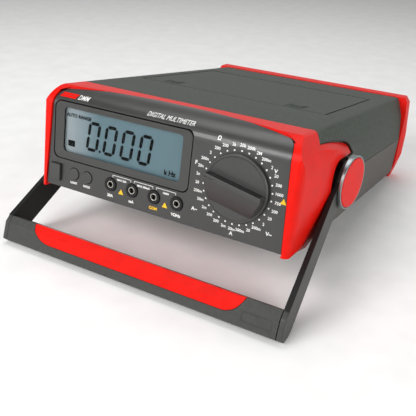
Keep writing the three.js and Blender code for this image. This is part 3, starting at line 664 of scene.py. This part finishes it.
def display_print():
    """The reading and the small signs on the display's face."""
    bm = bmesh.new()
    front, back = LCD_FACE - 0.1, LCD_FACE + 0.1
    for i in range(DIGIT["count"]):
        for bar in digit_zero(DIGIT["first"] + i * DIGIT["pitch"], DIGIT["foot"]):
            add_prism(bm, bar, front, back)
    point_x = DIGIT["first"] + DIGIT["width"] + 3.3
    add_prism(bm, circle(point_x, DIGIT["foot"] + 0.2, 1.0, 16), front, back)
    add_prism(bm, round_rectangle(-82.5, -76.0, 33.6, 38.2, 0.5), front, back)
    signs = (("AUTO RANGE", -73.4, 57.2, 3.6), ("k Hz", 8.6, 33.0, 5.0))
    for text, x, z, size in signs:
        letters = bmesh.new()
        add_letters(letters, text, x, z, size, weight=0.045)
        close_print(letters)
        for vert in letters.verts:
            vert.co.y = front if vert.co.y < 0.5 else back
        spare = bpy.data.meshes.new("letters")
        letters.to_mesh(spare)
        letters.free()
        bm.from_mesh(spare)
        bpy.data.meshes.remove(spare)
    make_piece("display_print", bm, DARK_INK, "housing")


# ---------- selector ----------
def knob_matrix():
    turn = Matrix.Rotation(math.radians(KNOB["angle"]), 4, "Y")
    return INSTRUMENT @ Matrix.Translation((KNOB["x"], 0, KNOB["z"])) @ turn


def chord_outline(radius, low, high, steps=6):
    """The part of a disc between two heights."""
    heights = [low + (high - low) * i / steps for i in range(steps + 1)]
    right = [(math.sqrt(radius * radius - v * v), v) for v in heights]
    return right + [(-u, v) for u, v in reversed(right)]


def selector_knob():
    """A thin turned disc with a bar across it, a black strip of painted shade on the bar's upper side, and a
    pointer line at the bar's left end.
    """
    disc = bmesh.new()
    r, face = KNOB["radius"], -KNOB["base"]
    add_lathe(disc, [
        (0, -0.6), (r - 0.2, -0.6), (r, -0.9), (r, face + 0.5), (r - 0.35, face + 0.1),
        (r - 0.9, face), (r - 1.6, face), (r - 1.8, face + 0.25), (r - 2.0, face), (0, face),
    ])
    place = knob_matrix()
    make_piece("selector_disc", disc, PANEL, "selector", place, replaces=["range_knob"])
    bar = bmesh.new()
    half = KNOB["bar_half"]
    reach = r - 1.0
    ridge = chord_outline(reach - 0.6, 0.6, half)
    foot = chord_outline(reach, -3.6 * half, half)
    add_prism(bar, foot, -KNOB["bar"], face + 0.3, low_points=ridge)
    make_piece("selector_bar", bar, PANEL, "selector", place, bevel=0.3)
    # Painted shade: a black strip laid on the bar's upper flank, standing in for the shade there.
    shade_strip = bmesh.new()
    low, high = -KNOB["bar"] + 0.7, face - 0.1
    add_prism(shade_strip, rectangle(-reach + 1.6, reach - 2.2, half - 0.4, half + 0.12), low, high)
    make_piece("selector_painted_shade", shade_strip, BLACK, "selector", place)
    pointer = bmesh.new()
    top = -KNOB["bar"]
    add_prism(pointer, rectangle(-reach + 1.6, -reach + 4.0, 1.6, 2.6), top - 0.04, top + 0.3)
    add_prism(pointer, rectangle(-reach + 4.8, -reach + 8.4, 1.7, 2.5), top - 0.04, top + 0.3)
    make_piece("selector_pointer", pointer, GROOVE_INK, "selector", place)


# ---------- handle ----------
FACE_FOOT = (-134.9, -0.1)      # lower edge of the crossbar's front face, in the handle's frame
FACE_TOP = (-124.6, 9.0)        # its upper edge
NAMEPLATE = {"x0": 88.5, "x1": 110.0, "low": 3.6, "high": 10.8, "line": 0.5}


def crossbar_face():
    """Frame of the crossbar's front face: X across, Y up the face, Z out of it."""
    lean = math.atan2(FACE_TOP[1] - FACE_FOOT[1], FACE_TOP[0] - FACE_FOOT[0])
    return HANDLE @ Matrix.Translation((0, *FACE_FOOT)) @ Matrix.Rotation(lean, 4, "X")


ARM = {"inner": 109.0, "thick": 3.4, "start": -24.0, "end": -118.7, "flare": 5.3, "half": 10.3}


def arm_painted_shade():
    """Painted shade: a black strip along each arm's upper edge, and a black lining on its inner face, where shade
    falls.
    """
    bm = bmesh.new()
    inner, outer, far = ARM["inner"], ARM["inner"] + ARM["thick"], ARM["inner"] + ARM["flare"]
    eye_end = -11.5
    edge = [(inner, eye_end), (outer, eye_end), (outer, ARM["start"]), (far + 4.0, ARM["end"]),
            (far, ARM["end"]), (inner, ARM["start"])]
    shade_lining = [(inner - 0.1, ARM["start"]), (inner + 0.3, ARM["start"]), (far + 0.3, ARM["end"]),
              (far - 0.1, ARM["end"])]
    # Both the edge strip and the lining are painted shade, not parts of the arm.
    for side in (1, -1):
        mirror = [[(side * x, y) for x, y in outline] for outline in (edge, shade_lining)]
        add_prism(bm, mirror[0], ARM["half"] - 0.4, ARM["half"] + 0.12, axis="Z")
        add_prism(bm, mirror[1], 0.4 - ARM["half"], ARM["half"], axis="Z")
    make_piece("arm_painted_shade", bm, BLACK, "handle", HANDLE)


def blank_nameplate():
    """A raised, empty frame on the crossbar's right end."""
    bm = bmesh.new()
    x0, x1, low, high, line = (NAMEPLATE[k] for k in ("x0", "x1", "low", "high", "line"))
    outer = round_rectangle(x0, x1, low, high, 1.2)
    inner = round_rectangle(x0 + line, x1 - line, low + line, high - line, 0.8)
    count = len(outer)
    for i in range(count):
        j = (i + 1) % count
        add_prism(bm, [outer[i], outer[j], inner[j], inner[i]], -0.3, 0.3, axis="Z")
    bmesh.ops.remove_doubles(bm, verts=bm.verts, dist=1e-5)
    inside = [f for f in bm.faces if all(len(e.link_faces) > 2 for e in f.edges)]
    bmesh.ops.delete(bm, geom=inside, context="FACES_ONLY")
    make_piece("blank_nameplate", bm, GREY_GRIP, "handle", crossbar_face())


# ---------- case details ----------
def latch_ribs():
    """Finger ribs on the two lid latches."""
    for x, body in zip(LATCH_XS, ("left_latch", "right_latch")):
        bm = bmesh.new()
        for i in range(LATCH_RIB["count"]):
            y = LID["y0"] + LATCH_RIB["from_edge"] + i * LATCH_RIB["pitch"]
            rib = rectangle(x - LATCH_RIB["half"], x + LATCH_RIB["half"], y, y + LATCH_RIB["width"])
            add_prism(bm, rib, LID["top"] - 0.5, LID["top"] + 0.3, axis="Z")
        make_piece(f"{body}_ribs", bm, UPPER, body, bevel=0.15, segments=2)


def screw_head(bm, x, z, y, radius):
    """A domed screw head facing the rear."""
    head = bmesh.new()
    dome = [(radius, 0.2), (radius * 0.8, 0.75), (radius * 0.4, 1.0), (0, 1.05)]
    add_lathe(head, [(0, -1.0), (radius, -1.0), *dome], 32)
    bmesh.ops.transform(head, matrix=Matrix.Translation((x, y, z)), verts=head.verts)
    spare = bpy.data.meshes.new("head")
    head.to_mesh(spare)
    head.free()
    bm.from_mesh(spare)
    bpy.data.meshes.remove(spare)


def rear_details():
    """Screws on the rear panel, the dust screen behind its vents, and the pins inside the mains inlet."""
    screws = bmesh.new()
    for x in (-REAR_SCREWS["x"], REAR_SCREWS["x"]):
        for z in REAR_SCREWS["zs"]:
            screw_head(screws, x, z, REAR_FACE, REAR_SCREWS["radius"])
    make_piece("rear_screws", screws, STEEL, "housing")
    screen = bmesh.new()
    outline = round_rectangle(*(VENT_SCREEN[k] for k in ("x0", "x1", "z0", "z1")), 1.5)
    add_prism(screen, outline, REAR_FACE - VENT_SCREEN["back"], REAR_FACE - VENT_SCREEN["front"])
    make_piece("vent_screen", screen, BLACK, "housing")
    pins = bmesh.new()
    for x, z in INLET_PINS["places"]:
        blade = round_rectangle(x - 1.0, x + 1.0, z - 2.2, z + 2.2, 0.4, 3)
        add_prism(pins, blade, INLET_PINS["y0"], INLET_PINS["y1"])
    make_piece("inlet_pins", pins, NICKEL, "housing", bevel=0.2, segments=2)


# ---------- camera, light and floor ----------
SOFTBOXES = [       # name, place and aim in metres, width and height in metres, power in watts
    ("key", (-0.35, -1.15, 0.75), (0, -0.05, 0.06), (0.9, 0.6), 14),
    ("top", (-0.25, 0.3, 1.3), (0, 0.1, 0.08), (1.2, 0.6), 8),
    ("side", (1.1, -0.3, 0.45), (0.1, -0.05, 0.06), (0.4, 0.8), 4.5),
]
CAMERA = {"place": (216.5, -466.4, 245.1), "aim": (42.83, -136.4, 61.8), "roll": 3.23, "lens": 53.0}


def add_camera():
    data = bpy.data.cameras.new("camera")
    data.lens = CAMERA["lens"]
    data.sensor_width = 36.0
    data.clip_start = 0.01
    data.clip_end = 20.0
    camera = bpy.data.objects.new("camera", data)
    bpy.context.scene.collection.objects.link(camera)
    camera.location = Vector(CAMERA["place"]) / 1000
    look = (Vector(CAMERA["aim"]) / 1000 - camera.location).to_track_quat("-Z", "Y").to_matrix().to_4x4()
    roll = Matrix.Rotation(math.radians(CAMERA["roll"]), 4, "Z")
    camera.matrix_world = Matrix.Translation(camera.location) @ look @ roll
    bpy.context.scene.camera = camera


def add_softbox(name, place, aim, size, power):
    data = bpy.data.lights.new(name, "AREA")
    data.shape = "RECTANGLE"
    data.size, data.size_y = size
    data.energy = power
    light = bpy.data.objects.new(name, data)
    bpy.context.scene.collection.objects.link(light)
    light.location = place
    light.rotation_mode = "QUATERNION"
    light.rotation_quaternion = (Vector(aim) - Vector(place)).to_track_quat("-Z", "Y")


def add_world():
    """A pale room with a darker ceiling, so that rolled edges pick up a dark band."""
    world = bpy.data.worlds.new("studio")
    world.use_nodes = True
    tree = world.node_tree
    place = tree.nodes.new("ShaderNodeTexCoord")
    split = tree.nodes.new("ShaderNodeSeparateXYZ")
    ramp = two_tone(tree, split.outputs["Z"], (1.0, 1.0, 1.0, 1), (0.1, 0.1, 0.1, 1), 0.3, 0.7)
    tree.links.new(place.outputs["Generated"], split.inputs["Vector"])
    tree.links.new(ramp.outputs["Color"], tree.nodes["Background"].inputs["Color"])
    tree.nodes["Background"].inputs["Strength"].default_value = 0.86
    bpy.context.scene.world = world


def add_studio():
    add_world()
    for softbox in SOFTBOXES:
        add_softbox(*softbox)


def floor_material():
    material, tree, shader = start_material("floor_paper", 0.8)
    fibre = noise_of(tree, 30.0, 3.0)
    tones = two_tone(tree, fibre.outputs["Fac"], linear("f3f3f2"), linear("f8f8f7"))
    tree.links.new(tones.outputs["Color"], shader.inputs["Base Color"])
    return material


def add_floor():
    mesh = bpy.data.meshes.new("floor")
    half = 6.0
    corners = [(-half, -half, 0), (half, -half, 0), (half, half, 0), (-half, half, 0)]
    mesh.from_pydata(corners, [], [(0, 1, 2, 3)])
    mesh.materials.append(floor_material())
    floor = bpy.data.objects.new("floor", mesh)
    bpy.context.scene.collection.objects.link(floor)


bpy.context.scene.view_settings.view_transform = "Standard"
add_camera()
add_studio()
add_floor()
dress_cad_nodes()
dial_print()
terminal_print()
caution_print()
badge()
surround_ribs()
display_print()
selector_knob()
arm_painted_shade()
blank_nameplate()
latch_ribs()
rear_details()
